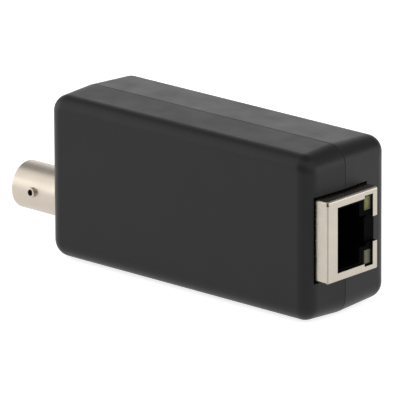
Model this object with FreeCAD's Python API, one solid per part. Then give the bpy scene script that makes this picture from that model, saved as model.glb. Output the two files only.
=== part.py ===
import FreeCAD, Part
import math
import os

# Ethernet over coax adapter: a two-shell moulded case with a coax jack out of one end and a shielded
# network jack, turned on its side, out of the other. All sizes are in millimetres.
# X runs along the case, from the coax jack to the network jack. Y is the case's depth, from the front
# shell to the rear shell, with the parting plane at y = 0 until the parts are saved. Z is up.

V = FreeCAD.Vector

# Case
LENGTH = 68.0
HEIGHT = 33.6
FRONT_DEPTH = 10.2
REAR_DEPTH = 13.0
WALL = 1.8
DRAFT_DEG = 3.0
CORNER_R = 3.8
EDGE_R = 2.9
SEAM_CHAMFER = 0.1
CUT_GAP = 0.25

# Lap joint, snap hooks and ribs
LIP_THICK = 0.8
LIP_REACH = 1.2
LIP_GAP = 0.12
HOOK_XS = (-8.0, 11.5)
HOOK_WIDTH = 5.0
HOOK_THICK = 1.0
HOOK_BOARD_GAP = 0.9
HOOK_ROOT = 5.5
HOOK_GAP = 0.35
BARB = 0.9
BARB_LENGTH = 1.6
BARB_GAP = 0.15
RIB_THICK = 0.9
RIB_HEIGHT = 1.1
RIB_COUNT = 4
RIB_PITCH = 8.5
RIB_SHIFT = -4.25

# Circuit board and its bosses
BOARD_THICK = 1.6
BOARD_GAP = 0.45
BOSS_TIP_R = 2.1
BOSS_ROOT_R = 2.4
BOSS_INSET_X = 6.4
BOSS_INSET_Z = 4.7
BOSS_PIN_R = 1.0
BOSS_PIN_OUT = 1.6
PIN_GAP = 0.15
PIN_OUT = 1.9

# Network jack
JACK_WIDTH = 16.3
JACK_DEPTH = 14.2
JACK_LENGTH = 21.0
JACK_OUT = 2.6
JACK_GAP = 0.4
SHEET = 0.3
FOLD_R = 0.45
FOLD_RELIEF = 0.4
FOLD_RELIEF_LENGTH = 0.9
FIT_GAP = 0.1
MOUTH_HALF = 6.5
MOUTH_LOW = 2.8
MOUTH_HIGH = 10.6
EAR_EDGE = 1.1
EAR_STRIP = 1.2
NOTCH_HALF = 2.5
NOTCH_LENGTH = 0.9
PLUG_HALF = 5.95
PLUG_LOW = 2.75
PLUG_HIGH = 9.5
PLUG_LENGTH = 13.5
LATCH_HALF = 3.1
LATCH_HIGH = 11.4
LATCH_LENGTH = 10.0
PEG_R = 1.5
PEG_HALF_PITCH = 5.72
PEG_BACK = 11.5
PEG_OUT = 0.8
TAB_WIDTH = 1.6
TAB_BACK = 15.0
FINGER_WIDTH = 2.4
FINGER_LENGTH = 5.0
FINGER_SLOT = 0.4
FINGER_LIFT_DEG = 5.0
FINGER_BACK = 8.2

# Network jack contacts
CONTACT_COUNT = 8
CONTACT_PITCH = 1.016
CONTACT_WIDTH = 0.46
CONTACT_THICK = 0.28
CONTACT_BEND_R = 0.42
CONTACT_TOP = 1.3
CONTACT_TURN = 2.4
CONTACT_MOUTH = 1.4
CONTACT_TIP_BACK = 10.8
CONTACT_TIP_LOW = 4.6
CONTACT_ROW_BACK = (16.0, 18.54)
SLOT_GAP = 0.14

# Indicator lamps beside the latch
LAMP_WIDTH = 2.85
LAMP_EDGE = 1.4
LAMP_LOW = 10.8
LAMP_HIGH = 12.8
LAMP_LENGTH = 5.0
LAMP_LEAD = 0.45
LAMP_LEAD_HALF = 0.85
LAMP_LEAD_BACK = 19.7
LAMP_BEND_R = 0.6

# Coax jack
COAX_Z = 9.7
COAX_HEIGHT = 6.2
COAX_OUT = 14.9
COAX_R = 4.8
COAX_RIM = 0.2
COAX_BORE_R = 4.07
COAX_BORE_DEPTH = 4.5
COAX_THROAT_R = 3.5
COAX_THROAT_DEPTH = 9.0
COAX_TAPER = 0.5
COAX_WEB = 1.0
COAX_FLANGE = 1.2
COAX_NECK_R = 4.4
COAX_NECK = 3.6
COAX_BACK_R = 3.6
STUD_DEPTH = 5.8
STUD_TURN_DEG = 5.0
STUD_R = 1.0
STUD_OUT = 0.7
STUD_EDGE = 0.2
STUD_DIMPLE_R = 0.64
STUD_DIMPLE_TIP_R = 0.5
STUD_DIMPLE = 1.0
SLEEVE_R = 2.5
SLEEVE_DEPTH = 4.7
SOCKET_R = 1.08
SOCKET_BORE_R = 0.68
SOCKET_BORE = 4.2
SOCKET_END = 1.0
SOCKET_SLOT = 0.3
SOCKET_SLOT_LENGTH = 3.4
SOCKET_DEPTH = 4.9
TAIL_R = 0.5
TAIL_BEND_R = 1.2
CLIP_THICK = 0.4
CLIP_LEG = 1.2
BASE_HALF = 6.5
BASE_LENGTH = 10.6
BASE_TOP = 6.1
BASE_WALL = 1.5
BASE_CHAMFER = 1.0
CAP_THICK = 0.9
BASE_PEG_R = 0.95
BASE_PEG_HALF_PITCH = 5.0
BASE_PEG_BACK = 1.7
BASE_PEG_OUT = 1.0

# Transformer module
MODULE_BACK = 10.1
MODULE_Z = 11.6
MODULE_LENGTH = 9.0
MODULE_WIDTH = 12.7
MODULE_HEIGHT = 5.4
MODULE_STAND = 0.25
MODULE_CHAMFER = 0.5
MODULE_LEADS = 8
MODULE_LEAD_PITCH = 1.27
MODULE_LEAD_WIDTH = 0.42
MODULE_LEAD_THICK = 0.22
MODULE_LEAD_LEVEL = 1.8
MODULE_LEAD_OUT = 1.7
MODULE_LEAD_FOOT = 0.85
MODULE_LEAD_BEND_R = 0.3

# Balun coil
BALUN_BACK = 10.4
BALUN_TOP = 9.4
BALUN_OUTER_R = 4.75
BALUN_INNER_R = 2.45
BALUN_HEIGHT = 4.2
BALUN_EDGE = 0.4
WIRE_R = 0.22
WIRE_GAP = 0.08
WIRE_BEND_R = 0.7
TURN_COUNT = 14
TURN_SPAN_DEG = 310.0
BALUN_BASE_HALF = 5.6
BALUN_BASE_THICK = 1.4
BALUN_BASE_CHAMFER = 0.8
BALUN_PIN_R = 0.35
BALUN_PIN_HALF = 4.6

# Surge arrester, film capacitor and chip parts
ARRESTER_BACK = 9.0
ARRESTER_Z = 11.6
ARRESTER_R = 2.5
ARRESTER_LENGTH = 3.4
ARRESTER_CAP = 0.9
ARRESTER_CAP_R = 2.7
ARRESTER_LEAD_R = 0.4
ARRESTER_LEAD_OUT = 2.2
ARRESTER_BEND_R = 0.9
CAPACITOR_BACK = 3.0
CAPACITOR_TOP = 8.0
CAPACITOR_LENGTH = 2.6
CAPACITOR_WIDTH = 7.2
CAPACITOR_HEIGHT = 6.4
CAPACITOR_EDGE = 0.4
CAPACITOR_LEAD_R = 0.3
CAPACITOR_LEAD_HALF = 2.5
CHIP_LENGTH = 2.0
CHIP_WIDTH = 1.25
CHIP_HEIGHT = 0.5
CHIP_PITCH = 2.2
CHIP_END = 0.35
CHIP_PROUD = 0.04
RESISTOR_COUNT = 5
RESISTOR_BACK = 2.0
RESISTOR_PITCH = 2.75
CHIP_CAPACITOR_COUNT = 4
CHIP_CAPACITOR_BACK = 10.8
CHIP_CAPACITOR_TOP = 6.2
CHIP_CAPACITOR_HEIGHT = 0.9

# Values that follow from the sizes above
SLOPE = math.tan(math.radians(DRAFT_DEG))
MID_Z = HEIGHT / 2
JACK_FRONT = LENGTH / 2 + JACK_OUT
JACK_BACK = JACK_FRONT - JACK_LENGTH
JACK_LOW = -(FRONT_DEPTH - WALL - JACK_GAP)
BOARD_Y = JACK_LOW + JACK_DEPTH
BOARD_BACK = BOARD_Y + BOARD_THICK
HOOK_REACH = BOARD_Y - HOOK_BOARD_GAP
PIN_END = BOARD_BACK + PIN_OUT
FRONT_FLOOR = -(FRONT_DEPTH - WALL)
REAR_FLOOR = REAR_DEPTH - WALL
EAR_HIGH = JACK_DEPTH - EAR_STRIP
EAR_HALF = JACK_WIDTH / 2 - EAR_EDGE
LAMP_FAR = JACK_WIDTH / 2 - LAMP_EDGE
LAMP_NEAR = LAMP_FAR - LAMP_WIDTH
COAX_Y = BOARD_Y - COAX_HEIGHT
COAX_FLANGE_R = COAX_HEIGHT - CUT_GAP
COAX_MOUTH = -(LENGTH / 2 + COAX_OUT)
FLANGE_FRONT = -(LENGTH / 2 - WALL - (abs(COAX_Y) + COAX_FLANGE_R) * SLOPE - CUT_GAP)
FLANGE_BACK = FLANGE_FRONT + COAX_FLANGE
BASE_FRONT = FLANGE_BACK + CLIP_THICK
BASE_BACK = BASE_FRONT + BASE_LENGTH
SOCKET_FRONT = COAX_MOUTH + SOCKET_DEPTH
CLIP_R = COAX_FLANGE_R
TAIL_X = BASE_BACK - CAP_THICK - BASE_WALL - TAIL_R
BOSS_X = LENGTH / 2 - BOSS_INSET_X
LOW_BOSS_X = BASE_BACK + BOSS_ROOT_R + BOARD_GAP
BOSS_PLACES = (
    (BOSS_X, BOSS_INSET_Z),
    (BOSS_X, HEIGHT - BOSS_INSET_Z),
    (-BOSS_X, HEIGHT - BOSS_INSET_Z),
    (LOW_BOSS_X, BOSS_INSET_Z),
)
MODULE_X = JACK_BACK - MODULE_BACK
RESISTOR_X = JACK_BACK - RESISTOR_BACK
CHIP_CAPACITOR_X = JACK_BACK - CHIP_CAPACITOR_BACK
CHIP_CAPACITOR_Z = HEIGHT - CHIP_CAPACITOR_TOP
BALUN_X = BASE_BACK + BALUN_BACK
BALUN_Z = HEIGHT - BALUN_TOP
CAPACITOR_X = BASE_BACK + CAPACITOR_BACK
CAPACITOR_Z = HEIGHT - CAPACITOR_TOP
ARRESTER_X = BASE_BACK + ARRESTER_BACK
ORIGIN_SHIFT = V((COAX_OUT - JACK_OUT) / 2, (FRONT_DEPTH - REAR_DEPTH) / 2, 0)
SPARE = 1.0
SAME = 1e-4
LEAST_R = 0.2
FILLET_SHARE = 0.93


# Basic forms

def block(x0, x1, y0, y1, z0, z1):
    return Part.makeBox(x1 - x0, y1 - y0, z1 - z0, V(x0, y0, z0))


def rod_x(x0, x1, y, z, r):
    return Part.makeCylinder(r, x1 - x0, V(x0, y, z), V(1, 0, 0))


def rod_y(y0, y1, x, z, r):
    return Part.makeCylinder(r, y1 - y0, V(x, y0, z), V(0, 1, 0))


def fused(shapes):
    return shapes[0].multiFuse(shapes[1:]).removeSplitter()


def edges_at(shape, axis, value):
    """The edges whose ends and middle all lie at one value of x, y or z."""
    found = []
    for edge in shape.Edges:
        middle = edge.valueAt((edge.FirstParameter + edge.LastParameter) / 2)
        points = [vertex.Point for vertex in edge.Vertexes] + [middle]
        if all(abs(getattr(point, axis) - value) < SAME for point in points):
            found.append(edge)
    return found


def edges_along(shape, axis):
    """The straight edges that run along one axis."""
    others = [name for name in "xyz" if name != axis]
    found = []
    for edge in shape.Edges:
        if len(edge.Vertexes) < 2:
            continue
        start, end = (vertex.Point for vertex in edge.Vertexes)
        if all(abs(getattr(start, name) - getattr(end, name)) < SAME for name in others):
            found.append(edge)
    return found


def turned(profile, y, z):
    """A piece turned about an axis along X, from its (x, radius) outline."""
    points = [V(x, y + r, z) for x, r in profile]
    face = Part.Face(Part.makePolygon(points + points[:1]))
    return face.revolve(V(0, y, z), V(1, 0, 0), 360)


def extruded_x(points, x0, x1):
    corners = [V(x0, y, z) for y, z in points]
    return Part.Face(Part.makePolygon(corners + corners[:1])).extrude(V(x1 - x0, 0, 0))


def bent_path(points, radius):
    """Straight runs through the points, joined by tangent arcs of one radius."""
    edges = []
    start = points[0]
    for before, corner, after in zip(points, points[1:], points[2:]):
        back = (before - corner).normalize()
        ahead = (after - corner).normalize()
        half = back.getAngle(ahead) / 2
        set_back = radius / math.tan(half)
        middle = corner + (back + ahead).normalize() * (radius / math.sin(half) - radius)
        arc_start = corner + back * set_back
        arc_end = corner + ahead * set_back
        edges.append(Part.makeLine(start, arc_start))
        edges.append(Part.Arc(arc_start, middle, arc_end).toShape())
        start = arc_end
    edges.append(Part.makeLine(start, points[-1]))
    return Part.Wire(edges)


def strip(points, radius, width, thick, z):
    """Flat strip of one width, bent about Z only, along (x, y) points at height z."""
    path = [V(x, y, z) for x, y in points]
    along = (path[1] - path[0]).normalize()
    side = along.cross(V(0, 0, 1)) * (thick / 2)
    rise = V(0, 0, width / 2)
    corners = [path[0] + side + rise, path[0] - side + rise, path[0] - side - rise, path[0] + side - rise]
    section = Part.makePolygon(corners + corners[:1])
    return bent_path(path, radius).makePipeShell([section], True, True)


def round_wire(points, radius, wire_r):
    """Round wire along a list of points."""
    along = points[1] - points[0]
    section = Part.Wire(Part.makeCircle(wire_r, points[0], along))
    return bent_path(points, radius).makePipeShell([section], True, True)


def rounded_loop(y, x0, x1, z0, z1, r):
    """Rounded rectangle in the plane at depth y."""
    corners = ((x1 - r, z1 - r, 0), (x0 + r, z1 - r, 90), (x0 + r, z0 + r, 180), (x1 - r, z0 + r, 270))
    arcs = []
    for cx, cz, turn in corners:
        angles = [math.radians(turn + step) for step in (0, 45, 90)]
        arcs.append([V(cx + r * math.cos(a), y, cz + r * math.sin(a)) for a in angles])
    edges = []
    for arc, following in zip(arcs, arcs[1:] + arcs[:1]):
        edges.append(Part.Arc(*arc).toShape())
        edges.append(Part.makeLine(arc[2], following[0]))
    return Part.Wire(edges)


def outline(y, inset):
    """The case's parting outline, moved inwards by inset."""
    r = max(CORNER_R - inset, LEAST_R)
    return rounded_loop(y, inset - LENGTH / 2, LENGTH / 2 - inset, inset, HEIGHT - inset, r)


def ring(y0, y1, outer_inset, inner_inset):
    """A straight wall round the case, between two insets of its outline."""
    rise = V(0, y1 - y0, 0)
    outer = Part.Face(outline(y0, outer_inset)).extrude(rise)
    inner = Part.Face(outline(y0, inner_inset)).extrude(rise)
    return outer.cut(inner)


# Case shells

def drafted(side, depth, inset, edge_r):
    """Half of the case's form: drafted walls from the parting plane, with rounded far edges."""
    far_inset = inset + depth * SLOPE
    body = Part.makeLoft([outline(0, inset), outline(side * depth, far_inset)], True, True)
    r = min(edge_r, FILLET_SHARE * max(CORNER_R - far_inset, LEAST_R))
    return body.makeFillet(r, edges_at(body, "y", side * depth))


def empty_shell(side, depth):
    outer = drafted(side, depth, 0, EDGE_R)
    outer = outer.makeChamfer(SEAM_CHAMFER, edges_at(outer, "y", 0))
    inner = drafted(side, depth - WALL, WALL, max(EDGE_R - WALL, LEAST_R))
    return outer.cut(inner)


def jack_window():
    """Cut-out in the end wall, clear of the network jack's shield all round."""
    half = JACK_WIDTH / 2 + JACK_GAP
    x0 = LENGTH / 2 - WALL - SPARE
    return block(x0, JACK_FRONT, JACK_LOW - JACK_GAP, BOARD_Y + JACK_GAP, MID_Z - half, MID_Z + half)


def coax_window():
    """Round hole in the other end wall, clear of the coax barrel."""
    return rod_x(COAX_MOUTH, FLANGE_FRONT, COAX_Y, COAX_Z, COAX_R + CUT_GAP)


def both_long_walls(shape):
    """The shape at the bottom wall and its mirror image at the top wall."""
    return [shape, shape.mirror(V(0, 0, MID_Z), V(0, 0, 1))]


def hook_face():
    """Height of a hook's outer face over the case's bottom outline."""
    return WALL + HOOK_REACH * SLOPE + HOOK_GAP


def snap_hook(x):
    """Cantilever hook on the front shell's long wall, with a barb that faces the wall."""
    face = hook_face()
    top = face + HOOK_THICK
    in_wall = WALL / 2
    barb_y = HOOK_REACH - BARB_LENGTH
    profile = (
        (-HOOK_ROOT, in_wall),
        (-LIP_GAP, in_wall),
        (-LIP_GAP, face),
        (barb_y, face),
        (barb_y, face - BARB),
        (HOOK_REACH, face - BARB_GAP),
        (HOOK_REACH, top),
        (HOOK_THICK - HOOK_ROOT, top),
        (-HOOK_ROOT, top - HOOK_THICK),
    )
    return extruded_x(profile, x - HOOK_WIDTH / 2, x + HOOK_WIDTH / 2)


def hook_pocket(x):
    """Recess in the rear shell's long wall that the barb snaps into."""
    half = HOOK_WIDTH / 2 + 2 * BARB_GAP
    y0 = HOOK_REACH - BARB_LENGTH - BARB_GAP
    z0 = hook_face() - BARB - BARB_GAP
    return block(x - half, x + half, y0, HOOK_REACH + 2 * BARB_GAP, z0, hook_face())


def floor_ribs(floor, side):
    """Low stiffening ribs across the inside of a shell's long face."""
    z0 = WALL + BOSS_INSET_Z
    ribs = []
    for i in range(RIB_COUNT):
        x = (i - (RIB_COUNT - 1) / 2) * RIB_PITCH + RIB_SHIFT
        y0, y1 = sorted((floor + side * WALL / 2, floor - side * RIB_HEIGHT))
        ribs.append(block(x - RIB_THICK / 2, x + RIB_THICK / 2, y0, y1, z0, HEIGHT - z0))
    return ribs


def front_shell():
    """Front half: clamping bosses, lap lip, snap hooks and ribs inside a smooth long face."""
    shell = empty_shell(-1, FRONT_DEPTH)
    lip = ring(-LIP_THICK, LIP_REACH, WALL - LIP_THICK, WALL)
    hooks = [piece for x in HOOK_XS for piece in both_long_walls(snap_hook(x))]
    bosses = []
    sockets = []
    for x, z in BOSS_PLACES:
        length = BOARD_Y - FRONT_FLOOR
        bosses.append(Part.makeCone(BOSS_ROOT_R, BOSS_TIP_R, length, V(x, FRONT_FLOOR, z), V(0, 1, 0)))
        sockets.append(rod_y(BOARD_Y - BOSS_PIN_OUT - 2 * PIN_GAP, BOARD_Y, x, z, BOSS_PIN_R + PIN_GAP))
    shell = fused([shell, lip] + hooks + bosses + floor_ribs(FRONT_FLOOR, -1))
    return shell.cut([jack_window(), coax_window()] + sockets)


def rear_shell():
    """Rear half: board bosses with locating pins, lap groove, hook pockets and ribs."""
    shell = empty_shell(1, REAR_DEPTH)
    groove = ring(-SPARE, LIP_REACH + LIP_GAP, WALL - LIP_THICK - LIP_GAP, WALL + SPARE)
    pockets = [piece for x in HOOK_XS for piece in both_long_walls(hook_pocket(x))]
    shell = shell.cut([groove] + pockets)
    bosses = []
    for x, z in BOSS_PLACES:
        length = REAR_FLOOR - BOARD_BACK
        bosses.append(Part.makeCone(BOSS_ROOT_R, BOSS_TIP_R, length, V(x, REAR_FLOOR, z), V(0, -1, 0)))
        bosses.append(rod_y(BOARD_Y - BOSS_PIN_OUT, BOARD_BACK + SPARE, x, z, BOSS_PIN_R))
    shell = fused([shell] + bosses + floor_ribs(REAR_FLOOR, 1))
    return shell.cut([jack_window(), coax_window()])


# Circuit board

def contact_places():
    """The (x, z) place of each network contact's pin, in two staggered rows."""
    places = []
    for i in range(CONTACT_COUNT):
        z = MID_Z + (i - (CONTACT_COUNT - 1) / 2) * CONTACT_PITCH
        places.append((JACK_FRONT - CONTACT_ROW_BACK[i % 2], z))
    return places


def lamp_lead_places(side):
    middle = MID_Z + side * (LAMP_NEAR + LAMP_FAR) / 2
    return [(JACK_FRONT - LAMP_LEAD_BACK, middle + half) for half in (-LAMP_LEAD_HALF, LAMP_LEAD_HALF)]


def balun_pin_places():
    half = BALUN_PIN_HALF
    return [(BALUN_X + dx, BALUN_Z + dz) for dx in (-half, half) for dz in (-half, half)]


def arrester_lead_places():
    reach = ARRESTER_LENGTH / 2 + ARRESTER_CAP + ARRESTER_LEAD_OUT
    return [(ARRESTER_X, ARRESTER_Z - reach), (ARRESTER_X, ARRESTER_Z + reach)]


def capacitor_lead_places():
    return [(CAPACITOR_X, CAPACITOR_Z + half) for half in (-CAPACITOR_LEAD_HALF, CAPACITOR_LEAD_HALF)]


def coax_hole_places():
    """Place and radius of the holes under the coax jack: its tail, clip legs and base pegs."""
    clip_x = FLANGE_BACK + CLIP_THICK / 2
    leg_z = CLIP_R - CLIP_LEG / 2
    peg_x = BASE_BACK - BASE_PEG_BACK
    return (
        [(TAIL_X, COAX_Z, TAIL_R + PIN_GAP)]
        + [(clip_x, COAX_Z + side * leg_z, CLIP_LEG / 2 + PIN_GAP) for side in (-1, 1)]
        + [(peg_x, COAX_Z + side * BASE_PEG_HALF_PITCH, BASE_PEG_R + PIN_GAP) for side in (-1, 1)]
    )


def circuit_board():
    """Board that fills the case's outline, with a hole for every pin, peg, tab and boss."""
    inset = WALL + BOARD_BACK * SLOPE + BOARD_GAP
    board = Part.Face(outline(BOARD_Y, inset)).extrude(V(0, BOARD_THICK, 0))
    holes = [(x, z, BOSS_PIN_R + PIN_GAP) for x, z in BOSS_PLACES]
    holes += [(x, z, CONTACT_WIDTH / 2 + PIN_GAP) for x, z in contact_places()]
    for side in (-1, 1):
        holes += [(x, z, LAMP_LEAD / 2 + 2 * PIN_GAP) for x, z in lamp_lead_places(side)]
        holes.append((JACK_FRONT - PEG_BACK, MID_Z + side * PEG_HALF_PITCH, PEG_R + PIN_GAP))
        tab_z = MID_Z + side * (JACK_WIDTH - SHEET) / 2
        holes.append((JACK_FRONT - TAB_BACK, tab_z, TAB_WIDTH / 2 + PIN_GAP))
    holes += [(x, z, BALUN_PIN_R + PIN_GAP) for x, z in balun_pin_places()]
    holes += [(x, z, ARRESTER_LEAD_R + PIN_GAP) for x, z in arrester_lead_places()]
    holes += [(x, z, CAPACITOR_LEAD_R + PIN_GAP) for x, z in capacitor_lead_places()]
    holes += coax_hole_places()
    drills = [rod_y(BOARD_Y - SPARE, BOARD_BACK + SPARE, x, z, r) for x, z, r in holes]
    return board.cut(drills)


# Network jack

def depth(h):
    """Y at a height h over the jack's contact side."""
    return JACK_LOW + h


def mouth_profile():
    """Opening in the jack's front plate: mouth, lamp ears and latch notch, as (y, z) points."""
    steps = (
        (MOUTH_LOW, MOUTH_HALF),
        (MOUTH_HIGH, MOUTH_HALF),
        (MOUTH_HIGH, EAR_HALF),
        (EAR_HIGH, EAR_HALF),
        (EAR_HIGH, NOTCH_HALF),
        (JACK_DEPTH + SPARE, NOTCH_HALF),
    )
    upper = [(depth(h), MID_Z + half) for h, half in steps]
    lower = [(depth(h), MID_Z - half) for h, half in reversed(steps)]
    return upper + lower


def spring_finger(side, x):
    """A ground finger lanced out of the shield's side, and the window that it leaves."""
    wall_z = MID_Z + side * JACK_WIDTH / 2
    inner_z = wall_z - side * SHEET
    half = FINGER_WIDTH / 2 + FINGER_SLOT
    middle = depth(JACK_DEPTH / 2)
    low, high = sorted((wall_z + side * SPARE, inner_z - side * FIT_GAP / 2))
    window = block(x - FINGER_LENGTH - FINGER_SLOT, x, middle - half, middle + half, low, high)
    low, high = sorted((wall_z, inner_z))
    half = FINGER_WIDTH / 2
    tongue = block(x - FINGER_LENGTH, x + FINGER_SLOT, middle - half, middle + half, low, high)
    tongue.rotate(V(x, middle, wall_z), V(0, 1, 0), side * FINGER_LIFT_DEG)
    return window, tongue


def fold_relief():
    """Small notch at the front plate's top corner, where its fold meets those of two walls."""
    corner_z = MID_Z + JACK_WIDTH / 2
    x0, y1 = JACK_FRONT - FOLD_RELIEF, JACK_LOW + FOLD_RELIEF
    z0 = corner_z - FOLD_RELIEF_LENGTH
    return block(x0, JACK_FRONT + SPARE, JACK_LOW - SPARE, y1, z0, corner_z + SPARE)


def rj45_shield():
    """Folded sheet round the jack: open to the board, with a front plate, fingers and ground tabs."""
    half = JACK_WIDTH / 2
    body = block(JACK_BACK, JACK_FRONT, JACK_LOW, BOARD_Y, MID_Z - half, MID_Z + half)
    folds = [edge for edge in edges_along(body, "x") if edge.Vertexes[0].Point.y < BOARD_Y - SPARE]
    for edge in edges_at(body, "x", JACK_FRONT):
        if min(vertex.Point.y for vertex in edge.Vertexes) < BOARD_Y - SPARE:
            folds.append(edge)
    body = body.makeFillet(FOLD_R, folds)
    inner_half = half - SHEET
    inside = block(
        JACK_BACK + SHEET, JACK_FRONT - SHEET, JACK_LOW + SHEET, BOARD_Y + SPARE,
        MID_Z - inner_half, MID_Z + inner_half,
    )
    inner_folds = [edge for edge in edges_along(inside, "x") if edge.Vertexes[0].Point.y < BOARD_Y - SPARE]
    inside = inside.makeFillet(FOLD_R - SHEET, inner_folds)
    mouth = extruded_x(mouth_profile(), JACK_FRONT - SHEET - FOLD_R, JACK_FRONT + SPARE)
    body = body.cut([inside, mouth, fold_relief()])
    added = []
    for side in (-1, 1):
        window, tongue = spring_finger(side, JACK_FRONT - FINGER_BACK)
        wall_z = MID_Z + side * half
        body = body.cut(window)
        added.append(tongue)
        z0, z1 = sorted((wall_z, wall_z - side * SHEET))
        tab_x = JACK_FRONT - TAB_BACK
        added.append(block(tab_x - TAB_WIDTH / 2, tab_x + TAB_WIDTH / 2, BOARD_Y - SPARE, PIN_END, z0, z1))
    return fused([body] + added)


def insert_box():
    """X, Y and Z limits of the moulded insert, one fit gap inside the shield."""
    half = JACK_WIDTH / 2 - SHEET - FIT_GAP
    return (
        JACK_BACK + SHEET + FIT_GAP, JACK_FRONT - SHEET - FIT_GAP,
        JACK_LOW + SHEET + FIT_GAP, BOARD_Y, MID_Z - half, MID_Z + half,
    )


def contact_cuts():
    """Comb of slots that hold the contacts: along the contact side and down the back."""
    x0, x1, y0, y1, z0, z1 = insert_box()
    half = CONTACT_WIDTH / 2 + SLOT_GAP
    top = depth(CONTACT_TOP) - CONTACT_THICK / 2 - SLOT_GAP
    mouth = JACK_FRONT - CONTACT_MOUTH + CONTACT_THICK / 2 + SLOT_GAP
    cuts = []
    for x, z in contact_places():
        bend = x + CONTACT_THICK / 2 + SLOT_GAP
        cuts.append(block(x0 - SPARE, mouth, top, depth(PLUG_LOW) + FIT_GAP, z - half, z + half))
        cuts.append(block(x0 - SPARE, bend, top, BOARD_Y + SPARE, z - half, z + half))
    return cuts


def rj45_insert():
    """Moulded insert: plug cavity, latch channel, lamp pockets, contact comb and board pegs."""
    x0, x1, y0, y1, z0, z1 = insert_box()
    body = block(x0, x1, y0, y1, z0, z1)
    open_x = x1 + SPARE
    cavity_back = JACK_FRONT - PLUG_LENGTH
    latch_back = JACK_FRONT - LATCH_LENGTH
    notch_back = JACK_FRONT - NOTCH_LENGTH
    cuts = [
        block(cavity_back, open_x, depth(PLUG_LOW), depth(PLUG_HIGH), MID_Z - PLUG_HALF, MID_Z + PLUG_HALF),
        block(latch_back, open_x, depth(PLUG_LOW), depth(LATCH_HIGH), MID_Z - LATCH_HALF, MID_Z + LATCH_HALF),
        block(notch_back, open_x, depth(PLUG_HIGH), y1 + SPARE, MID_Z - NOTCH_HALF, MID_Z + NOTCH_HALF),
    ]
    for side in (-1, 1):
        near, far = sorted((MID_Z + side * LAMP_NEAR, MID_Z + side * LAMP_FAR))
        cuts.append(block(x0 - SPARE, open_x, depth(LAMP_LOW), depth(LAMP_HIGH), near, far))
        lead_x = JACK_FRONT - LAMP_LEAD_BACK + LAMP_LEAD
        cuts.append(block(x0 - SPARE, lead_x, depth(LAMP_LOW), y1 + SPARE, near, far))
    body = body.cut(cuts + contact_cuts())
    pegs = []
    for side in (-1, 1):
        peg_z = MID_Z + side * PEG_HALF_PITCH
        pegs.append(rod_y(BOARD_Y - SPARE, BOARD_BACK + PEG_OUT, JACK_FRONT - PEG_BACK, peg_z, PEG_R))
    return fused([body] + pegs)


def rj45_contact(index):
    """Gold spring wire: board pin, run along the contact side, hairpin at the mouth and free tip."""
    pin_x, z = contact_places()[index]
    mouth_x = JACK_FRONT - CONTACT_MOUTH
    points = (
        (pin_x, PIN_END),
        (pin_x, depth(CONTACT_TOP)),
        (mouth_x, depth(CONTACT_TOP)),
        (mouth_x, depth(CONTACT_TURN)),
        (JACK_FRONT - CONTACT_TIP_BACK, depth(CONTACT_TIP_LOW)),
    )
    return strip(points, CONTACT_BEND_R, CONTACT_WIDTH, CONTACT_THICK, z)


def lamp(side):
    """Lamp moulding that shows beside the latch notch, with softened front edges."""
    near, far = sorted((MID_Z + side * (LAMP_NEAR + FIT_GAP / 2), MID_Z + side * (LAMP_FAR - FIT_GAP / 2)))
    front = JACK_FRONT - SHEET - FIT_GAP
    low, high = depth(LAMP_LOW) + FIT_GAP / 2, depth(LAMP_HIGH) - FIT_GAP / 2
    body = block(front - LAMP_LENGTH, front, low, high, near, far)
    return body.makeFillet(FIT_GAP, edges_at(body, "x", front))


def lamp_leads(side):
    """Two square leads from the lamp, back along its pocket and down through the board."""
    y = depth((LAMP_LOW + LAMP_HIGH) / 2)
    lamp_back = JACK_FRONT - SHEET - FIT_GAP - LAMP_LENGTH
    leads = []
    for x, z in lamp_lead_places(side):
        points = ((lamp_back, y), (x, y), (x, PIN_END))
        leads.append(strip(points, LAMP_BEND_R, LAMP_LEAD, LAMP_LEAD, z))
    return Part.makeCompound(leads)


# Coax jack

def bnc_barrel():
    """Turned outer conductor: bore, flange, press neck and two drilled studs, a few degrees off level."""
    throat = COAX_MOUTH + COAX_THROAT_DEPTH
    web_back = throat + COAX_WEB
    neck_back = FLANGE_BACK + COAX_NECK
    profile = (
        (COAX_MOUTH, COAX_BORE_R + COAX_RIM / 2),
        (COAX_MOUTH, COAX_R - COAX_RIM),
        (COAX_MOUTH + COAX_RIM, COAX_R),
        (FLANGE_FRONT, COAX_R),
        (FLANGE_FRONT, COAX_FLANGE_R),
        (FLANGE_BACK, COAX_FLANGE_R),
        (FLANGE_BACK, COAX_NECK_R),
        (neck_back, COAX_NECK_R),
        (neck_back, COAX_BACK_R),
        (web_back, COAX_BACK_R),
        (web_back, SLEEVE_R + FIT_GAP / 2),
        (throat, SLEEVE_R + FIT_GAP / 2),
        (throat, COAX_THROAT_R),
        (COAX_MOUTH + COAX_BORE_DEPTH + COAX_TAPER, COAX_THROAT_R),
        (COAX_MOUTH + COAX_BORE_DEPTH, COAX_BORE_R),
        (COAX_MOUTH + COAX_RIM / 2, COAX_BORE_R),
    )
    barrel = turned(profile, COAX_Y, COAX_Z)
    x = COAX_MOUTH + STUD_DEPTH
    inner_r = (COAX_R + COAX_BORE_R) / 2
    studs = []
    dimples = []
    for side in (-1, 1):
        tip_y = COAX_Y + side * (COAX_R + STUD_OUT)
        stud = rod_y(*sorted((COAX_Y + side * inner_r, tip_y)), x, COAX_Z, STUD_R)
        studs.append(stud.makeFillet(STUD_EDGE, edges_at(stud, "y", tip_y)))
        tip, inwards = V(x, tip_y, COAX_Z), V(0, -side, 0)
        dimples.append(Part.makeCone(STUD_DIMPLE_R, STUD_DIMPLE_TIP_R, STUD_DIMPLE, tip, inwards))
    for piece in studs + dimples:
        piece.rotate(V(x, COAX_Y, COAX_Z), V(1, 0, 0), -STUD_TURN_DEG)
    return fused([barrel] + studs).cut(dimples)


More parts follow.
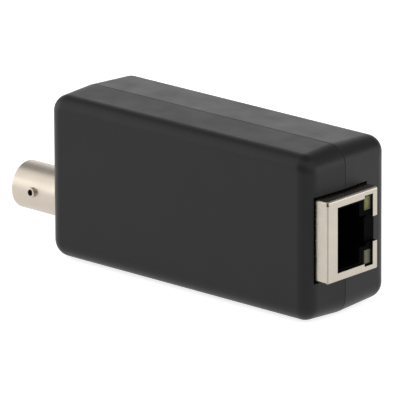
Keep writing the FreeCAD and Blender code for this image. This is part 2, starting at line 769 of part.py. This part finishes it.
def bnc_insulator():
    """Turned insulator: a sleeve round the socket and a wide body in the barrel's back."""
    step = COAX_MOUTH + COAX_THROAT_DEPTH + COAX_WEB + FIT_GAP / 2
    back = FLANGE_BACK + COAX_NECK
    socket_back = SOCKET_FRONT + SOCKET_BORE + SOCKET_END
    profile = (
        (COAX_MOUTH + SLEEVE_DEPTH, SOCKET_R + FIT_GAP),
        (COAX_MOUTH + SLEEVE_DEPTH, SLEEVE_R),
        (step, SLEEVE_R),
        (step, COAX_BACK_R - FIT_GAP / 2),
        (back, COAX_BACK_R - FIT_GAP / 2),
        (back, TAIL_R + FIT_GAP),
        (socket_back + FIT_GAP, TAIL_R + FIT_GAP),
        (socket_back + FIT_GAP, SOCKET_R + FIT_GAP),
    )
    return turned(profile, COAX_Y, COAX_Z)


def bnc_centre_contact():
    """Slotted centre socket with a long tail that turns down to the board."""
    socket_back = SOCKET_FRONT + SOCKET_BORE + SOCKET_END
    socket = rod_x(SOCKET_FRONT, socket_back, COAX_Y, COAX_Z, SOCKET_R)
    bore = rod_x(SOCKET_FRONT - SPARE, SOCKET_FRONT + SOCKET_BORE, COAX_Y, COAX_Z, SOCKET_BORE_R)
    slot_end = SOCKET_FRONT + SOCKET_SLOT_LENGTH
    half = SOCKET_SLOT / 2
    wide = SOCKET_R + SPARE
    slots = [
        block(SOCKET_FRONT - SPARE, slot_end, COAX_Y - wide, COAX_Y + wide, COAX_Z - half, COAX_Z + half),
        block(SOCKET_FRONT - SPARE, slot_end, COAX_Y - half, COAX_Y + half, COAX_Z - wide, COAX_Z + wide),
    ]
    elbow = V(TAIL_X, COAX_Y, COAX_Z)
    tail_points = [V(socket_back - SOCKET_END / 2, COAX_Y, COAX_Z), elbow, V(TAIL_X, PIN_END, COAX_Z)]
    tail = round_wire(tail_points, TAIL_BEND_R, TAIL_R)
    return fused([socket.cut([bore] + slots), tail])


def bnc_ground_clip():
    """Stamped ring behind the barrel's flange, with two legs through the board."""
    plate = rod_x(FLANGE_BACK, BASE_FRONT, COAX_Y, COAX_Z, CLIP_R)
    legs = []
    for side in (-1, 1):
        z0, z1 = sorted((COAX_Z + side * CLIP_R, COAX_Z + side * (CLIP_R - CLIP_LEG)))
        legs.append(block(FLANGE_BACK, BASE_FRONT, COAX_Y, PIN_END, z0, z1))
    hole = rod_x(FLANGE_BACK - SPARE, BASE_FRONT + SPARE, COAX_Y, COAX_Z, COAX_NECK_R + FIT_GAP)
    return fused([plate] + legs).cut(hole)


def bnc_base():
    """Moulded right-angle base: bore for the barrel's neck, tail chamber and two board pegs."""
    z0, z1 = COAX_Z - BASE_HALF, COAX_Z + BASE_HALF
    body = block(BASE_FRONT, BASE_BACK, COAX_Y - BASE_TOP, BOARD_Y, z0, z1)
    top_edges = [edge for edge in edges_along(body, "x") if edge.Vertexes[0].Point.y < COAX_Y]
    body = body.makeChamfer(BASE_CHAMFER, top_edges)
    neck_back = FLANGE_BACK + COAX_NECK + FIT_GAP
    neck = rod_x(BASE_FRONT - SPARE, neck_back, COAX_Y, COAX_Z, COAX_NECK_R + FIT_GAP)
    half = COAX_NECK_R - BASE_WALL
    rim = half + BASE_WALL / 2
    back, under = BASE_BACK + SPARE, BOARD_Y + SPARE
    chamber = block(neck_back - FIT_GAP, back, COAX_Y - half, under, COAX_Z - half, COAX_Z + half)
    cap_seat = block(BASE_BACK - CAP_THICK, back, COAX_Y - rim, under, COAX_Z - rim, COAX_Z + rim)
    body = body.cut([neck, chamber, cap_seat])
    pegs = []
    for side in (-1, 1):
        peg_z = COAX_Z + side * BASE_PEG_HALF_PITCH
        peg_x, peg_end = BASE_BACK - BASE_PEG_BACK, BOARD_BACK + BASE_PEG_OUT
        pegs.append(rod_y(BOARD_Y - SPARE, peg_end, peg_x, peg_z, BASE_PEG_R))
    return fused([body] + pegs)


def bnc_cap():
    """Small lid that closes the base's tail chamber."""
    rim = COAX_NECK_R - BASE_WALL / 2 - FIT_GAP
    low, high = COAX_Y - rim, BOARD_Y - FIT_GAP
    lid = block(BASE_BACK - CAP_THICK, BASE_BACK, low, high, COAX_Z - rim, COAX_Z + rim)
    return lid.makeChamfer(FIT_GAP, edges_at(lid, "x", BASE_BACK))


# Parts on the board

def lan_transformer():
    """Moulded transformer module, with bevelled edges on its top face."""
    x0, x1 = MODULE_X - MODULE_LENGTH / 2, MODULE_X + MODULE_LENGTH / 2
    foot = BOARD_Y - MODULE_STAND
    body = block(x0, x1, foot - MODULE_HEIGHT, foot, MODULE_Z - MODULE_WIDTH / 2, MODULE_Z + MODULE_WIDTH / 2)
    return body.makeChamfer(MODULE_CHAMFER, edges_at(body, "y", foot - MODULE_HEIGHT))


def lan_transformer_leads():
    """Gull-wing leads along both sides of the module."""
    level = BOARD_Y - MODULE_STAND - MODULE_LEAD_LEVEL
    foot = BOARD_Y - MODULE_LEAD_THICK / 2
    leads = []
    for side in (-1, 1):
        edge_x = MODULE_X + side * MODULE_LENGTH / 2
        knee_x = edge_x + side * (MODULE_LEAD_OUT - MODULE_LEAD_FOOT)
        tip_x = edge_x + side * MODULE_LEAD_OUT
        points = ((edge_x, level), (knee_x, level), (knee_x, foot), (tip_x, foot))
        for i in range(MODULE_LEADS):
            z = MODULE_Z + (i - (MODULE_LEADS - 1) / 2) * MODULE_LEAD_PITCH
            leads.append(strip(points, MODULE_LEAD_BEND_R, MODULE_LEAD_WIDTH, MODULE_LEAD_THICK, z))
    return Part.makeCompound(leads)


def balun_level():
    """Y of the ring core's lower face, over its base and one layer of wire."""
    return BOARD_Y - BALUN_BASE_THICK - 2 * WIRE_R - 2 * WIRE_GAP


def balun_core():
    """Ferrite ring with rounded edges."""
    level = balun_level()
    core = rod_y(level - BALUN_HEIGHT, level, BALUN_X, BALUN_Z, BALUN_OUTER_R)
    core = core.cut(rod_y(level - BALUN_HEIGHT - SPARE, level + SPARE, BALUN_X, BALUN_Z, BALUN_INNER_R))
    rims = edges_at(core, "y", level) + edges_at(core, "y", level - BALUN_HEIGHT)
    return core.makeFillet(BALUN_EDGE, rims)


def balun_turn(angle):
    """One turn of wire round the ring core's section, at an angle about the ring's axis."""
    reach = WIRE_R + WIRE_GAP
    level = balun_level()
    x0, x1 = BALUN_X + BALUN_INNER_R - reach, BALUN_X + BALUN_OUTER_R + reach
    y0, y1 = level - BALUN_HEIGHT - reach, level + reach
    middle_y = (y0 + y1) / 2
    points = [V(x0, middle_y, BALUN_Z), V(x0, y0, BALUN_Z), V(x1, y0, BALUN_Z), V(x1, y1, BALUN_Z)]
    points += [V(x0, y1, BALUN_Z), V(x0, middle_y, BALUN_Z)]
    section = Part.Face(Part.Wire(Part.makeCircle(WIRE_R, points[0], V(0, 1, 0))))
    turn = bent_path(points, WIRE_BEND_R).makePipe(section)
    turn.rotate(V(BALUN_X, 0, BALUN_Z), V(0, 1, 0), angle)
    return turn


def balun_winding():
    """Evenly spaced turns with a gap between the two ends of the winding."""
    step = TURN_SPAN_DEG / (TURN_COUNT - 1)
    return Part.makeCompound([balun_turn(i * step) for i in range(TURN_COUNT)])


def balun_base():
    """Moulded carrier under the ring core, with cut corners."""
    half = BALUN_BASE_HALF
    top = BOARD_Y - BALUN_BASE_THICK
    base = block(BALUN_X - half, BALUN_X + half, top, BOARD_Y, BALUN_Z - half, BALUN_Z + half)
    base = base.makeChamfer(BALUN_BASE_CHAMFER, edges_along(base, "y"))
    return base.cut([rod_y(top - SPARE, BOARD_Y + SPARE, x, z, BALUN_PIN_R) for x, z in balun_pin_places()])


def balun_pins():
    """Four terminal pins that stand in the carrier and pass through the board."""
    top = BOARD_Y - BALUN_BASE_THICK
    return Part.makeCompound([rod_y(top, PIN_END, x, z, BALUN_PIN_R) for x, z in balun_pin_places()])


def arrester_y():
    return BOARD_Y - ARRESTER_CAP_R - PIN_GAP


def surge_arrester():
    """Ceramic tube of the gas discharge arrester."""
    half = ARRESTER_LENGTH / 2
    return Part.makeCylinder(ARRESTER_R, 2 * half, V(ARRESTER_X, arrester_y(), ARRESTER_Z - half), V(0, 0, 1))


def surge_arrester_terminals():
    """Metal end caps, each with a lead bent down through the board."""
    y = arrester_y()
    ends = []
    for side, (x, lead_z) in zip((-1, 1), arrester_lead_places()):
        face_z = ARRESTER_Z + side * ARRESTER_LENGTH / 2
        cap = Part.makeCylinder(ARRESTER_CAP_R, ARRESTER_CAP, V(x, y, face_z), V(0, 0, side))
        start = V(x, y, face_z + side * ARRESTER_CAP / 2)
        points = [start, V(x, y, lead_z), V(x, PIN_END, lead_z)]
        ends.append(fused([cap, round_wire(points, ARRESTER_BEND_R, ARRESTER_LEAD_R)]))
    return Part.makeCompound(ends)


def film_capacitor():
    """Box film capacitor with rounded edges."""
    foot = BOARD_Y - PIN_GAP
    half_x, half_z = CAPACITOR_LENGTH / 2, CAPACITOR_WIDTH / 2
    body = block(
        CAPACITOR_X - half_x, CAPACITOR_X + half_x, foot - CAPACITOR_HEIGHT, foot,
        CAPACITOR_Z - half_z, CAPACITOR_Z + half_z,
    )
    rounded = edges_along(body, "y") + edges_at(body, "y", foot - CAPACITOR_HEIGHT)
    return body.makeFillet(CAPACITOR_EDGE, rounded)


def film_capacitor_leads():
    foot = BOARD_Y - PIN_GAP
    leads = [rod_y(foot, PIN_END, x, z, CAPACITOR_LEAD_R) for x, z in capacitor_lead_places()]
    return Part.makeCompound(leads)


def chip(x, z, height):
    """Chip part on the board, with its end caps a little proud of its middle."""
    half_x, half_z = CHIP_WIDTH / 2, CHIP_LENGTH / 2
    proud = CHIP_PROUD
    middle = block(x - half_x, x + half_x, BOARD_Y - height, BOARD_Y - proud, z - half_z, z + half_z)
    ends = []
    for side in (-1, 1):
        z0, z1 = sorted((z + side * half_z, z + side * (half_z - CHIP_END)))
        ends.append(block(x - half_x - proud, x + half_x + proud, BOARD_Y - height - proud, BOARD_Y, z0, z1))
    return fused([middle] + ends)


def chip_resistors():
    places = [MID_Z + (i - (RESISTOR_COUNT - 1) / 2) * RESISTOR_PITCH for i in range(RESISTOR_COUNT)]
    return Part.makeCompound([chip(RESISTOR_X, z, CHIP_HEIGHT) for z in places])


def chip_capacitors():
    places = [CHIP_CAPACITOR_X + i * CHIP_PITCH for i in range(CHIP_CAPACITOR_COUNT)]
    return Part.makeCompound([chip(x, CHIP_CAPACITOR_Z, CHIP_CAPACITOR_HEIGHT) for x in places])


def all_parts():
    parts = {
        "front_shell": front_shell(),
        "rear_shell": rear_shell(),
        "circuit_board": circuit_board(),
        "rj45_shield": rj45_shield(),
        "rj45_insert": rj45_insert(),
        "link_lamp": lamp(1),
        "link_lamp_leads": lamp_leads(1),
        "activity_lamp": lamp(-1),
        "activity_lamp_leads": lamp_leads(-1),
        "bnc_barrel": bnc_barrel(),
        "bnc_insulator": bnc_insulator(),
        "bnc_centre_contact": bnc_centre_contact(),
        "bnc_ground_clip": bnc_ground_clip(),
        "bnc_base": bnc_base(),
        "bnc_cap": bnc_cap(),
        "lan_transformer": lan_transformer(),
        "lan_transformer_leads": lan_transformer_leads(),
        "balun_core": balun_core(),
        "balun_winding": balun_winding(),
        "balun_base": balun_base(),
        "balun_pins": balun_pins(),
        "surge_arrester": surge_arrester(),
        "surge_arrester_terminals": surge_arrester_terminals(),
        "film_capacitor": film_capacitor(),
        "film_capacitor_leads": film_capacitor_leads(),
        "chip_resistors": chip_resistors(),
        "chip_capacitors": chip_capacitors(),
    }
    for index in range(CONTACT_COUNT):
        parts[f"rj45_contact_{index + 1}"] = rj45_contact(index)
    return parts


def save(name, shape):
    """Move a part so that the origin is the middle of the whole part's base, and write it."""
    moved = shape.copy()
    moved.translate(ORIGIN_SHIFT)
    moved.exportStep(f"parts/{name}.step")


os.makedirs("parts", exist_ok=True)
for part_name, part_shape in all_parts().items():
    save(part_name, part_shape)
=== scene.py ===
import bpy
import math
from mathutils import Matrix, Vector

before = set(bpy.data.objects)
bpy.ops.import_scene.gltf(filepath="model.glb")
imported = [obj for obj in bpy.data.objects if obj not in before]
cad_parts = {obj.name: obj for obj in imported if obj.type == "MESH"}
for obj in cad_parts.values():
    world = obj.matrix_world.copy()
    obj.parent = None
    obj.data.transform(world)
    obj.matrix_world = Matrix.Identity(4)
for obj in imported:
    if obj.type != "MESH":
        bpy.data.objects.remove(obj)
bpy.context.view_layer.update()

# Ethernet over coax adapter, standing on its long narrow side on a pale floor. Lengths are in metres,
# in the CAD part's own frame: X from the coax jack to the network jack, Y from front to rear, Z up.
# Angles are in degrees. Azimuth 0 is in front of the part, and 90 is at the network jack's end.

MM = 0.001

# Camera, with its lens and sensor in millimetres
CAMERA_AZIMUTH = 42.174
CAMERA_ELEVATION = 17.206
CAMERA_ROLL = -0.296
CAMERA_DISTANCE = 1.35
CAMERA_LENS = 631.2
CAMERA_SENSOR = 36
CAMERA_REACH = 20
CAMERA_TARGET = Vector((4.56, -3.06, 16.26)) * MM

# Floor
FLOOR_SIZE = 3.0
FLOOR_COLOUR = (0.55, 0.55, 0.55)
FLOOR_CLOUD = 0.4
FLOOR_SHADE = 0.98
FLOOR_ROUGHNESS = 0.7
FLOOR_GLOW = 0.8

# Light: each soft light's name, azimuth, elevation, distance, width, height and brightness
WHITE = (1, 1, 1, 1)
WORLD_LIGHT = 0.43
SOFT_LIGHTS = (
    ("front_high", 0, 55, 1.3, 1.0, 0.7, 1.35),
    ("left_high", -62, 40, 1.2, 1.0, 0.5, 1.2),
    ("left_low", -62, 13, 1.2, 1.0, 0.6, 2.4),
    ("back_left_low", -138, 9, 1.3, 1.4, 0.3, 1.15),
    ("back_left_high", -138, 24, 1.3, 1.4, 0.35, 0.78),
    ("right_high", 86, 44, 1.2, 1.7, 1.2, 1.1),
    ("back_right", 126, 8, 1.3, 1.0, 0.45, 2.4),
)

# Colours, as linear red, green and blue
CASE_BLACK = (0.0045, 0.0045, 0.0048)
INSERT_BLACK = (0.0012, 0.0012, 0.0012)
NICKEL = (0.46, 0.42, 0.36)
COAX_NICKEL = (0.50, 0.445, 0.38)
GOLD = (0.83, 0.60, 0.27)
TIN = (0.66, 0.66, 0.65)
COPPER = (0.62, 0.25, 0.12)
BOARD_GREEN = (0.012, 0.11, 0.04)
RESIN_BLACK = (0.012, 0.012, 0.013)
FERRITE_GREY = (0.045, 0.045, 0.05)
INSULATOR_WHITE = (0.78, 0.77, 0.73)
CERAMIC_WHITE = (0.62, 0.56, 0.46)
CAPACITOR_RED = (0.28, 0.03, 0.02)
LAMP_GREEN = (0.13, 0.127, 0.027)
LAMP_AMBER = (0.088, 0.081, 0.052)

# Places where the base colour carries painted shade: the shield's front fold, which is a line
# along Z, the dimples in the barrel's two opposite studs, which are turned a little about its axis, the
# plane through the lamps' cores, away from which the lamps are painted darker, and the green lamp's top,
# below which it is painted darker
FOLD_SHADE_LINE = Vector((42.62, -9.27, 0)) * MM
STUD_CENTRE = Vector((-36.95, -1.4, 9.7)) * MM
STUD_TURN = 5.0
DIMPLE_OUT = 5.0 * MM
LAMP_CORE = Vector((0, 2.15, 0)) * MM
GREEN_LAMP_TOP = Vector((0, 0, 23.5)) * MM

# Texture: the limits between which nearly all values of a noise lie, the length after which a wave of
# scale 1 repeats, and scales along X, Y and Z, of which a low one draws features out
NOISE_LIMITS = (0.3, 0.7)
WAVE_REPEAT = 0.314
EVEN = (1, 1, 1)
ROLLED = (5, 5, 0.4)
WOVEN = (1, 1, 0.5)


# Material building blocks

def principled(name):
    """New material, with its node tree and its shader."""
    material = bpy.data.materials.new(name)
    material.use_nodes = True
    return material, material.node_tree, material.node_tree.nodes["Principled BSDF"]


def coordinates(tree, stretch):
    """Mapping node that gives places on the part, in metres, scaled along each axis."""
    source = tree.nodes.new("ShaderNodeTexCoord")
    mapping = tree.nodes.new("ShaderNodeMapping")
    mapping.inputs["Scale"].default_value = stretch
    tree.links.new(source.outputs["Object"], mapping.inputs["Vector"])
    return mapping


def noise(tree, size, detail=3, stretch=EVEN):
    """Noise whose features are about one size across."""
    node = tree.nodes.new("ShaderNodeTexNoise")
    node.inputs["Scale"].default_value = 1 / size
    node.inputs["Detail"].default_value = detail
    tree.links.new(coordinates(tree, stretch).outputs["Vector"], node.inputs["Vector"])
    return node.outputs["Fac"]


def rings(tree, pitch, waver, detail):
    """Fine turning marks round the X axis."""
    node = tree.nodes.new("ShaderNodeTexWave")
    node.bands_direction = "X"
    node.inputs["Scale"].default_value = WAVE_REPEAT / pitch
    node.inputs["Distortion"].default_value = waver
    node.inputs["Detail"].default_value = detail
    tree.links.new(coordinates(tree, EVEN).outputs["Vector"], node.inputs["Vector"])
    return node.outputs["Fac"]


def ranged(tree, value, limits, span=NOISE_LIMITS):
    """Node that spreads a value from a span, by default a noise's, between two limits."""
    node = tree.nodes.new("ShaderNodeMapRange")
    node.inputs["From Min"].default_value, node.inputs["From Max"].default_value = span
    node.inputs["To Min"].default_value, node.inputs["To Max"].default_value = limits
    tree.links.new(value, node.inputs["Value"])
    return node


def colour_mix(tree):
    """Mix node for two colours."""
    mix = tree.nodes.new("ShaderNodeMix")
    mix.data_type = "RGBA"
    return mix


def tinted(tree, shader, value, colour, shade):
    """The base colour, darkened to a share of itself where the noise is low."""
    mix = colour_mix(tree)
    tree.links.new(ranged(tree, value, (0, 1)).outputs["Result"], mix.inputs["Factor"])
    mix.inputs["A"].default_value = (*[channel * shade for channel in colour], 1)
    mix.inputs["B"].default_value = (*colour, 1)
    tree.links.new(mix.outputs["Result"], shader.inputs["Base Color"])


def shaded(tree, shader, place, axes, span, shares):
    """The base colour, times a share that changes with the distance from a place, which paints shade into
    it.

    An axis that is 0 doesn't count, so the place can be a point, a line or a plane. The share goes from
    the first to the second as the distance goes from the start to the end of the span.
    """
    mapping = coordinates(tree, axes)
    mapping.inputs["Location"].default_value = [-at * counts for at, counts in zip(place, axes)]
    distance = tree.nodes.new("ShaderNodeVectorMath")
    distance.operation = "LENGTH"
    tree.links.new(mapping.outputs["Vector"], distance.inputs[0])
    share = ranged(tree, distance.outputs["Value"], shares, span)
    share.interpolation_type = "SMOOTHSTEP"
    mix = colour_mix(tree)
    mix.blend_type = "MULTIPLY"
    mix.inputs["Factor"].default_value = 1
    base = shader.inputs["Base Color"]
    tree.links.new(base.links[0].from_socket, mix.inputs["A"])
    tree.links.new(share.outputs["Result"], mix.inputs["B"])
    tree.links.new(mix.outputs["Result"], base)


def roughened(tree, shader, value, limits):
    """Roughness that wanders between two limits."""
    tree.links.new(ranged(tree, value, limits).outputs["Result"], shader.inputs["Roughness"])


def bumped(tree, shader, layers):
    """Bumps laid over one another, each a height value with its depth."""
    previous = None
    for height, depth in layers:
        node = tree.nodes.new("ShaderNodeBump")
        node.inputs["Distance"].default_value = depth
        tree.links.new(height, node.inputs["Height"])
        if previous:
            tree.links.new(previous, node.inputs["Normal"])
        previous = node.outputs["Normal"]
    tree.links.new(previous, shader.inputs["Normal"])


# Materials

def moulded_plastic(name, colour, rough, grain, gloss):
    """Satin moulded plastic: fine erosion texture, slight waviness and a few rubbed patches."""
    material, tree, shader = principled(name)
    tinted(tree, shader, noise(tree, size=9 * MM), colour, shade=0.82)
    roughened(tree, shader, noise(tree, size=5 * MM, detail=6), rough)
    shader.inputs["Specular IOR Level"].default_value = gloss
    waves = noise(tree, size=14 * MM, detail=1)
    grains = noise(tree, size=grain, detail=2)
    bumped(tree, shader, [(waves, 0.01 * MM), (grains, 0.006 * MM)])
    return material


def plated_sheet(name, colour):
    """Nickel on rolled sheet: faint lines along Z, cloudy reflections and a painted shade line along the
    fold.
    """
    material, tree, shader = principled(name)
    shader.inputs["Metallic"].default_value = 1
    lines = noise(tree, size=1.2 * MM, detail=4, stretch=ROLLED)
    tinted(tree, shader, noise(tree, size=3 * MM, detail=4), colour, shade=0.93)
    # Painted shade: the colour is darkened in a thin line along the fold, standing in for the shade in the
    # crease.
    shaded(tree, shader, FOLD_SHADE_LINE, axes=(1, 1, 0), span=(0.04 * MM, 0.2 * MM), shares=(0.6, 1))
    roughened(tree, shader, lines, (0.22, 0.3))
    clouds = noise(tree, size=6 * MM, detail=1)
    bumped(tree, shader, [(lines, 0.0025 * MM), (clouds, 0.02 * MM)])
    return material


def plated_turning(name, colour):
    """Nickel on a turned piece, with fine rings left by the tool and painted shade that blackens the dimples
    in its two studs.
    """
    material, tree, shader = principled(name)
    shader.inputs["Metallic"].default_value = 1
    marks = rings(tree, pitch=0.12 * MM, waver=1.5, detail=2)
    tinted(tree, shader, noise(tree, size=4 * MM, detail=4), colour, shade=0.92)
    # Painted shade: the colour in each stud's dimple is darkened nearly to black, standing in for the shade
    # inside the hole.
    turn = math.radians(STUD_TURN)
    out = Vector((0, math.cos(turn), -math.sin(turn))) * DIMPLE_OUT
    for dimple in (STUD_CENTRE - out, STUD_CENTRE + out):
        shaded(tree, shader, dimple, axes=(1, 1, 1), span=(0.52 * MM, 0.72 * MM), shares=(0.04, 1))
    roughened(tree, shader, noise(tree, size=2 * MM, detail=5), (0.3, 0.38))
    clouds = noise(tree, size=5 * MM, detail=1)
    bumped(tree, shader, [(marks, 0.0003 * MM), (clouds, 0.012 * MM)])
    return material


def plain_metal(name, colour, rough):
    """Bright wire and stamped leads, a little uneven."""
    material, tree, shader = principled(name)
    shader.inputs["Metallic"].default_value = 1
    tinted(tree, shader, noise(tree, size=1.5 * MM), colour, shade=0.85)
    roughened(tree, shader, noise(tree, size=0.8 * MM), (rough, rough + 0.12))
    bumped(tree, shader, [(noise(tree, size=0.3 * MM), 0.004 * MM)])
    return material


def glossy_body(name, colour, rough):
    """Smooth resin, ceramic or film case under a thin gloss."""
    material, tree, shader = principled(name)
    tinted(tree, shader, noise(tree, size=2.5 * MM), colour, shade=0.88)
    roughened(tree, shader, noise(tree, size=1.5 * MM), (rough, rough + 0.1))
    shader.inputs["Coat Weight"].default_value = 0.3
    bumped(tree, shader, [(noise(tree, size=1.2 * MM), 0.01 * MM)])
    return material


def lamp_resin(name, colour, painted_shade_downwards):
    """Tinted resin of an unlit lamp, which takes some light in, with painted shade that darkens it away from
    its core.
    """
    material, tree, shader = principled(name)
    tinted(tree, shader, noise(tree, size=1.2 * MM), colour, shade=0.85)
    # Painted shade: darker away from the core, so that the core reads as lit, and on the green lamp darker
    # downwards from its top.
    shaded(tree, shader, LAMP_CORE, axes=(0, 1, 0), span=(0.1 * MM, 1.0 * MM), shares=(1, 0.25))
    if painted_shade_downwards:
        shaded(tree, shader, GREEN_LAMP_TOP, axes=(0, 0, 1), span=(1.6 * MM, 3.0 * MM), shares=(1, 0.25))
    roughened(tree, shader, noise(tree, size=0.8 * MM), (0.2, 0.32))
    shader.inputs["Specular IOR Level"].default_value = 0.25
    shader.inputs["Subsurface Weight"].default_value = 0.25
    shader.inputs["Subsurface Scale"].default_value = 0.8 * MM
    bumped(tree, shader, [(noise(tree, size=0.6 * MM), 0.008 * MM)])
    return material


def board_laminate(name, colour):
    """Green lacquer over woven glass, with a faint weave."""
    material, tree, shader = principled(name)
    tinted(tree, shader, noise(tree, size=4 * MM), colour, shade=0.8)
    weave = noise(tree, size=0.6 * MM, detail=1, stretch=WOVEN)
    roughened(tree, shader, weave, (0.3, 0.42))
    bumped(tree, shader, [(weave, 0.01 * MM)])
    return material


def dress(names, material):
    """Give CAD nodes one material."""
    for name in names:
        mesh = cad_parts[name].data
        mesh.materials.clear()
        mesh.materials.append(material)


def dress_all():
    """Give every CAD node its material."""
    case = moulded_plastic("case_plastic", CASE_BLACK, rough=(0.38, 0.45), grain=0.3 * MM, gloss=0.23)
    dress(["front_shell", "rear_shell"], case)
    insert = moulded_plastic("insert_plastic", INSERT_BLACK, rough=(0.42, 0.55), grain=0.2 * MM, gloss=0.012)
    dress(["rj45_insert", "bnc_base", "bnc_cap"], insert)
    dress(["rj45_shield"], plated_sheet("jack_sheet", NICKEL))
    dress(["bnc_barrel"], plated_turning("coax_nickel", COAX_NICKEL))
    contacts = [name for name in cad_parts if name.startswith("rj45_contact_")]
    dress(contacts + ["bnc_centre_contact"], plain_metal("gold_contact", GOLD, rough=0.18))
    leads = [
        "link_lamp_leads", "activity_lamp_leads", "bnc_ground_clip", "lan_transformer_leads",
        "balun_pins", "surge_arrester_terminals", "film_capacitor_leads",
    ]
    dress(leads, plain_metal("tinned_leads", TIN, rough=0.25))
    dress(["balun_winding"], plain_metal("copper_wire", COPPER, rough=0.2))
    dress(["link_lamp"], lamp_resin("lamp_resin_green", LAMP_GREEN, painted_shade_downwards=True))
    dress(["activity_lamp"], lamp_resin("lamp_resin_amber", LAMP_AMBER, painted_shade_downwards=False))
    dress(["circuit_board"], board_laminate("board_laminate", BOARD_GREEN))
    dress(["bnc_insulator"], glossy_body("coax_insulator", INSULATOR_WHITE, rough=0.35))
    package = moulded_plastic("package_resin", RESIN_BLACK, rough=(0.5, 0.62), grain=0.1 * MM, gloss=0.4)
    dress(["lan_transformer", "balun_base"], package)
    ferrite = moulded_plastic("ferrite", FERRITE_GREY, rough=(0.55, 0.7), grain=0.15 * MM, gloss=0.4)
    dress(["balun_core"], ferrite)
    dress(["surge_arrester", "chip_capacitors"], glossy_body("ceramic", CERAMIC_WHITE, rough=0.3))
    dress(["chip_resistors"], glossy_body("chip_glaze", RESIN_BLACK, rough=0.3))
    dress(["film_capacitor"], glossy_body("capacitor_case", CAPACITOR_RED, rough=0.3))


# Floor, light and camera

def direction(azimuth, elevation):
    """Unit vector towards a place round the part."""
    turn, rise = math.radians(azimuth), math.radians(elevation)
    return Vector((math.sin(turn) * math.cos(rise), -math.cos(turn) * math.cos(rise), math.sin(rise)))


def soft_light(name, azimuth, elevation, distance, width, height, brightness):
    """Rectangular light aimed at the part, whose face has one brightness."""
    data = bpy.data.lights.new(name, "AREA")
    data.shape = "RECTANGLE"
    data.size = width
    data.size_y = height
    data.energy = brightness * math.pi * width * height
    light = bpy.data.objects.new(name, data)
    bpy.context.scene.collection.objects.link(light)
    away = direction(azimuth, elevation)
    light.location = CAMERA_TARGET + away * distance
    light.rotation_euler = away.to_track_quat("Z", "Y").to_euler()


def pale_floor():
    """Square floor that glows a little, so that it stays pale under the part."""
    half = FLOOR_SIZE / 2
    corners = [(-half, -half, 0), (half, -half, 0), (half, half, 0), (-half, half, 0)]
    mesh = bpy.data.meshes.new("floor")
    mesh.from_pydata(corners, [], [(0, 1, 2, 3)])
    floor = bpy.data.objects.new("floor", mesh)
    bpy.context.scene.collection.objects.link(floor)
    material, tree, shader = principled("floor")
    tinted(tree, shader, noise(tree, size=FLOOR_CLOUD), FLOOR_COLOUR, shade=FLOOR_SHADE)
    shader.inputs["Roughness"].default_value = FLOOR_ROUGHNESS
    shader.inputs["Emission Color"].default_value = WHITE
    shader.inputs["Emission Strength"].default_value = FLOOR_GLOW
    mesh.materials.append(material)


def studio():
    """White world and the soft lights."""
    world = bpy.data.worlds.new("studio")
    world.use_nodes = True
    background = world.node_tree.nodes["Background"]
    background.inputs["Color"].default_value = WHITE
    background.inputs["Strength"].default_value = WORLD_LIGHT
    bpy.context.scene.world = world
    for row in SOFT_LIGHTS:
        soft_light(*row)


def camera():
    """Camera on the photo's line of sight, with a slight roll."""
    back = direction(CAMERA_AZIMUTH, CAMERA_ELEVATION)
    right = Vector((0, 0, 1)).cross(back).normalized()
    up = back.cross(right)
    roll = math.radians(CAMERA_ROLL)
    across = right * math.cos(roll) + up * math.sin(roll)
    upright = up * math.cos(roll) - right * math.sin(roll)
    data = bpy.data.cameras.new("photo_camera")
    data.lens = CAMERA_LENS
    data.sensor_width = CAMERA_SENSOR
    data.clip_end = CAMERA_REACH
    view = bpy.data.objects.new("photo_camera", data)
    bpy.context.scene.collection.objects.link(view)
    axes = Matrix((across, upright, back)).transposed().to_4x4()
    view.matrix_world = Matrix.Translation(CAMERA_TARGET + back * CAMERA_DISTANCE) @ axes
    bpy.context.scene.camera = view


dress_all()
pale_floor()
studio()
camera()
bpy.context.scene.view_settings.view_transform = "Standard"
